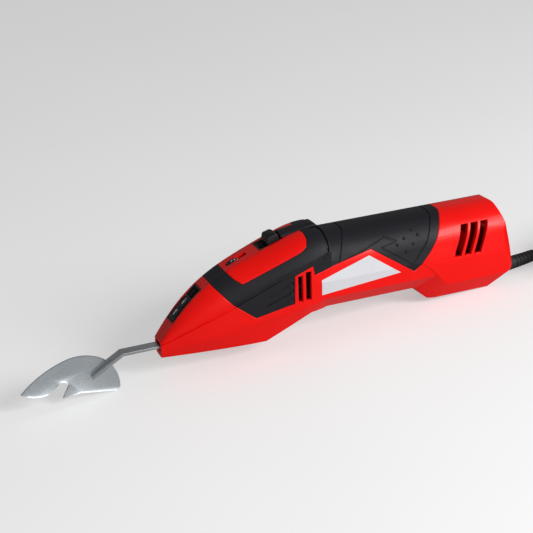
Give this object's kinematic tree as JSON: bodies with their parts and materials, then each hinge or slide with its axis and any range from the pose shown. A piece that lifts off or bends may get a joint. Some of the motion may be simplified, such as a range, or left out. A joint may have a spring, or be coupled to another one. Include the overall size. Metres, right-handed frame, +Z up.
{
  "type": "power scraper",
  "caption": "Corded hand-held oscillating scraper: wedge-nosed housing with soft grip, vents and sliding switch, clamped steel scraper blade, universal motor and eccentric drive inside.",
  "frame": {"origin": "on the floor under the middle of the tool's bounding box, cord not counted, with the tool lying on the heel of its blade and the rear edge of its tail", "axes": "+X from the blade to the tail along the floor, +Z up, +Y to the tool's right-hand flank, away from the pictured side"},
  "size_m": [0.5366, 0.1007, 0.0878],
  "materials": {
    "red_plastic": "satin moulded",
    "grip_rubber": "matte overmould",
    "label_film": "printed film left blank",
    "screw_steel": "zinc",
    "black_plastic": "satin moulded",
    "strip_steel": "brushed",
    "blade_steel": "polished",
    "arm_alloy": "die cast",
    "bronze": "plain",
    "shaft_steel": "ground",
    "spring_steel": "drawn",
    "bearing_steel": "ground",
    "dark_plastic": "moulded",
    "core_steel": "laminated",
    "copper": "enamelled",
    "carbon": "pressed carbon",
    "cord_rubber": "matte",
    "board_green": "solder mask",
    "pin_steel": "nickel plated",
    "tie_plastic": "moulded"
  },
  "bodies": {
    "housing": {"bearing_boot": "cord_rubber", "board_parts": "dark_plastic", "brush_carrier": "dark_plastic", "brush_holders": "bronze", "brush_springs": "spring_steel", "carbon_brushes": "carbon", "clamp_screws": "screw_steel", "control_board": "board_green", "cord_clamp": "dark_plastic", "cord_coil": "cord_rubber", "cord_end": "cord_rubber", "cord_guard": "cord_rubber", "cord_lead": "cord_rubber", "cord_tie": "tie_plastic", "drive_frame": "arm_alloy", "field_core": "core_steel", "field_windings": "copper", "front_bearing_outer": "bearing_steel", "grip_left": "grip_rubber", "grip_right": "grip_rubber", "housing_left": "red_plastic", "housing_right": "red_plastic", "housing_screws": "screw_steel", "label_left": "label_film", "label_right": "label_film", "lead_wires": "cord_rubber", "lock_track": "black_plastic", "pivot_pin": "shaft_steel", "plug_body": "cord_rubber", "plug_pins": "pin_steel", "rear_bearing_outer": "bearing_steel", "speed_control": "dark_plastic", "switch_rail": "grip_rubber", "switch_track": "black_plastic", "switch_unit": "dark_plastic"},
    "rotor": {"rotor_shaft": "shaft_steel", "front_bearing_inner": "bearing_steel", "front_bearing_balls": "bearing_steel", "rear_bearing_inner": "bearing_steel", "rear_bearing_balls": "bearing_steel", "eccentric_bearing": "bearing_steel", "fan": "dark_plastic", "armature_core": "core_steel", "armature_windings": "copper", "commutator": "copper"},
    "arm": {"swing_arm": "arm_alloy", "pivot_bushes": "bronze", "clamp_spring": "spring_steel"},
    "pin": {"clamp_pin": "shaft_steel"},
    "blade": {"blade_tang": "strip_steel", "blade_plate": "blade_steel"},
    "lock": {"lock_slider": "black_plastic"},
    "power": {"power_slider": "black_plastic"},
    "dial": {"speed_dial": "dark_plastic"}
  },
  "joints": [
    {"name": "rotor_spin", "type": "hinge", "parent": "housing", "child": "rotor", "pos_m": [0.07351, 0, 0.04737], "axis": [0.9964, 0, -0.0844], "continuous": true},
    {"name": "arm_swing", "type": "hinge", "parent": "housing", "child": "arm", "pos_m": [-0.04311, 0, 0.03317], "axis": [0, 1, 0], "range_deg": [-0.75, 0.75]},
    {"name": "clamp_release", "type": "slide", "parent": "arm", "child": "pin", "axis": [-0.0844, 0, -0.9964], "range_m": [0, 0.001]},
    {"name": "blade_withdraw", "type": "slide", "parent": "arm", "child": "blade", "axis": [-0.9964, 0, 0.0844], "range_m": [0, 0.026]},
    {"name": "lock_slide", "type": "slide", "parent": "housing", "child": "lock", "axis": [0.7906, 0, 0.6123], "range_m": [0, 0.007]},
    {"name": "power_slide", "type": "slide", "parent": "housing", "child": "power", "axis": [-0.9873, 0, -0.1591], "range_m": [0, 0.006]},
    {"name": "speed_turn", "type": "hinge", "parent": "housing", "child": "dial", "pos_m": [-0.02137, 0, 0.06465], "axis": [0, 1, 0], "range_deg": [0, 270]}
  ],
  "couplings": [
    {"joint": "clamp_release", "follows": "lock_slide", "ratio": 0.14286}
  ]
}
